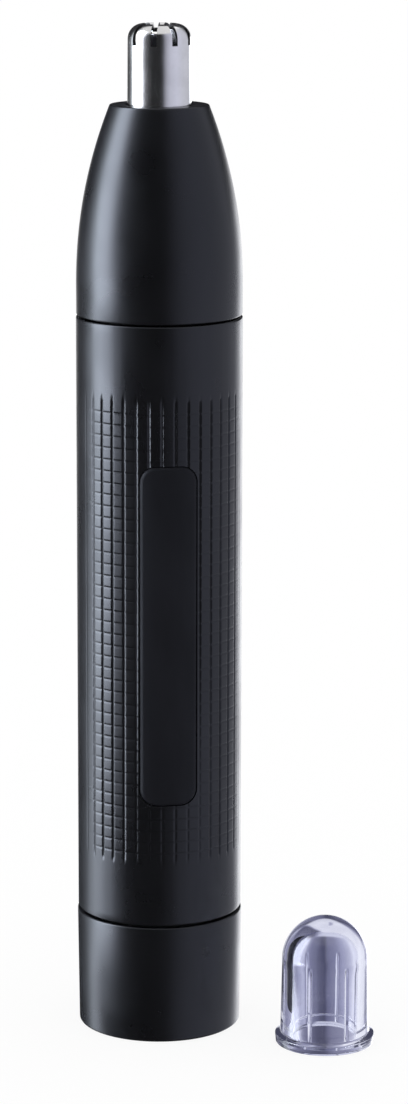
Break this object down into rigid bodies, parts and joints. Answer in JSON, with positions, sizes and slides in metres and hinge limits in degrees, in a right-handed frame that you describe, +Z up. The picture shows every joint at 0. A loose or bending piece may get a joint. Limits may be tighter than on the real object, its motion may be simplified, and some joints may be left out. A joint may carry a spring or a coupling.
{
  "type": "nose hair trimmer",
  "caption": "Pen-shaped battery nose hair trimmer standing on its base, with a slotted steel cutter on a tapered head and its clear tip cap beside it.",
  "frame": {"origin": "centre of the base's resting face, on the trimmer's long axis", "axes": "+Z up the long axis towards the cutter, -Y out of the smooth badge plate, +X to the right as seen from the badge side"},
  "size_m": [0.0387, 0.0303, 0.1352],
  "materials": {
    "shell_black": "satin",
    "badge_black": "satin",
    "inner_black": "matte",
    "inner_grey": "matte",
    "inner_white": "satin",
    "seal_rubber": "matte",
    "clear_plastic": "gloss",
    "tip_steel": "polished",
    "blade_steel": "satin",
    "zinc_steel": "satin",
    "nickel": "satin",
    "brass": "satin",
    "copper": "satin",
    "ferrite": "matte",
    "cell_jacket": "satin"
  },
  "bodies": {
    "base": {"base_cap": "shell_black", "negative_plate": "nickel", "negative_spring": "nickel"},
    "twist_ring": {"twist_ring": "inner_white"},
    "housing": {"housing_tube": "shell_black", "badge_plate": "badge_black", "chassis": "inner_grey", "neck_seal": "seal_rubber", "positive_contact": "nickel", "negative_strip": "nickel", "motor_can": "zinc_steel", "motor_end_cap": "inner_white", "motor_bush": "brass", "magnet_right": "ferrite", "magnet_left": "ferrite", "brush_terminal_positive": "copper", "brush_terminal_negative": "copper", "motor_clamp": "inner_black", "motor_screw_front": "zinc_steel", "motor_screw_back": "zinc_steel"},
    "motor_rotor": {"motor_shaft": "tip_steel", "armature_core": "zinc_steel", "winding_1": "copper", "winding_2": "copper", "winding_3": "copper", "commutator": "copper", "drive_coupling": "inner_white"},
    "battery": {"battery_cell": "cell_jacket"},
    "head": {"nose_cone": "shell_black", "outer_cutter": "tip_steel", "cutter_retainer": "inner_black", "cutter_bush": "brass", "thrust_washer": "tip_steel", "head_seal": "seal_rubber"},
    "blade_rotor": {"inner_cutter": "blade_steel", "blade_shaft": "inner_white", "shaft_spring": "tip_steel"},
    "tip_cap": {"tip_cap": "clear_plastic"}
  },
  "joints": [
    {"name": "body_lift", "type": "slide", "parent": "base", "child": "twist_ring", "axis": [0, 0, 1], "range_m": [0, 0.1]},
    {"name": "power_twist", "type": "hinge", "parent": "twist_ring", "child": "housing", "pos_m": [0, 0, 0.0065], "axis": [0, 0, 1], "range_deg": [0, 60]},
    {"name": "battery_drop", "type": "slide", "parent": "housing", "child": "battery", "axis": [0, 0, -1], "range_m": [0, 0.05]},
    {"name": "head_lift", "type": "slide", "parent": "housing", "child": "head", "axis": [0, 0, 1], "range_m": [0, 0.02]},
    {"name": "motor_spin", "type": "hinge", "parent": "housing", "child": "motor_rotor", "pos_m": [0, 0, 0.07], "axis": [0, 0, 1], "continuous": true},
    {"name": "blade_spin", "type": "hinge", "parent": "head", "child": "blade_rotor", "pos_m": [0, 0, 0.1], "axis": [0, 0, 1], "continuous": true},
    {"name": "cap_lift", "type": "slide", "parent": "base", "child": "tip_cap", "axis": [0, 0, 1], "range_m": [0, 0.125]}
  ],
  "couplings": [
    {"joint": "blade_spin", "follows": "motor_spin", "ratio": 1},
    {"joint": "battery_drop", "follows": "body_lift", "ratio": 0.5}
  ]
}
